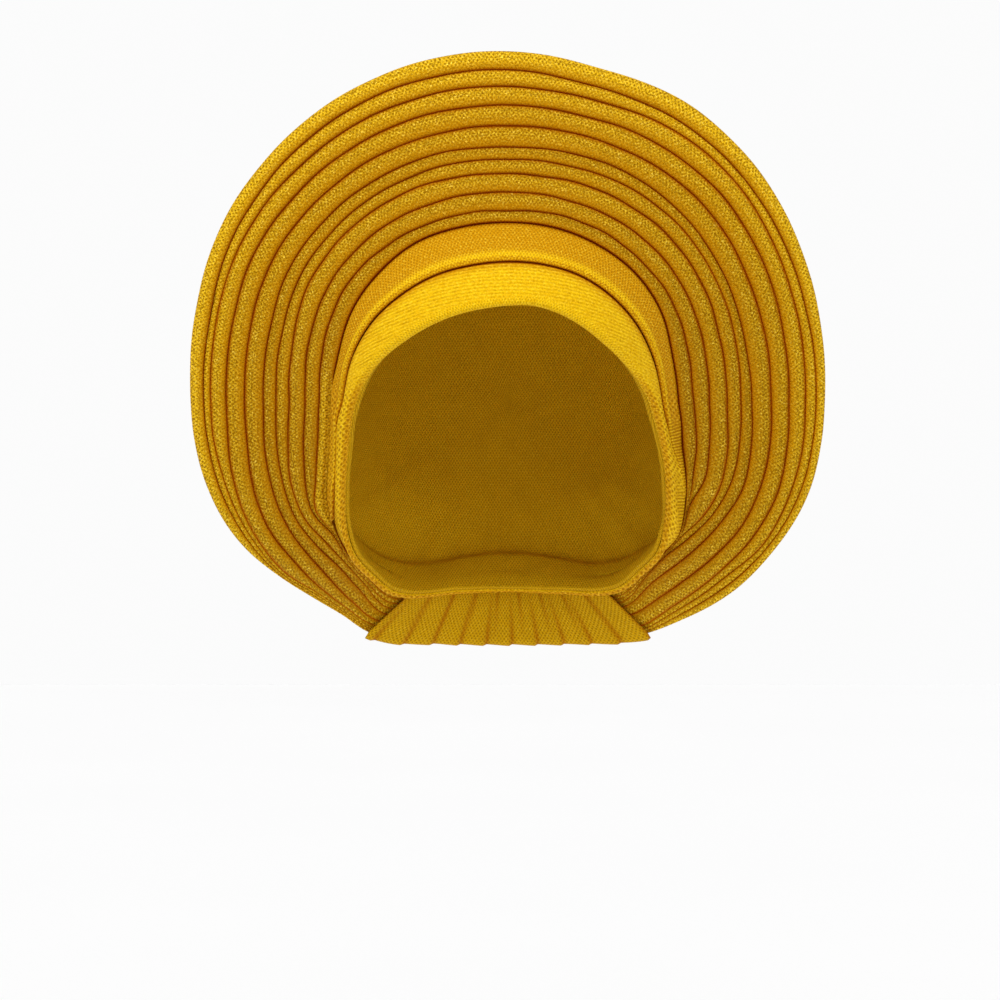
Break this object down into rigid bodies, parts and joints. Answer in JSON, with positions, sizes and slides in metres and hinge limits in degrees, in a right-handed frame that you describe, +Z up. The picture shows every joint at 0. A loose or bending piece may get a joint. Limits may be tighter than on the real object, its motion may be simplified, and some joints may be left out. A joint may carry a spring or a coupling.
{
  "type": "pleated head wrap turban",
  "caption": "Pre-tied head wrap with a round halo of overlapping rounded pleats, two smooth bands round the face and a closed cap gathered at the nape.",
  "frame": {"origin": "the middle of the head opening at brow height, where the wrap sits on a head", "axes": "+Z up through the crown, -Y the way the wearer looks, +X to the right of someone who faces the wearer"},
  "size_m": [0.2802, 0.1849, 0.2625],
  "materials": {
    "band_cloth": "bright golden yellow woven cloth with a soft sheen and fine diagonal lines",
    "pleat_cloth": "mustard gold knitted cloth with small holes and fine metallic glints",
    "cap_cloth": "mustard gold woven cloth, matt"
  },
  "bodies": {
    "root": {"crown_cap": "cap_cloth", "lower_band": "band_cloth", "upper_band": "band_cloth", "pleated_fan": "pleat_cloth", "nape_binding": "cap_cloth"}
  },
  "joints": []
}
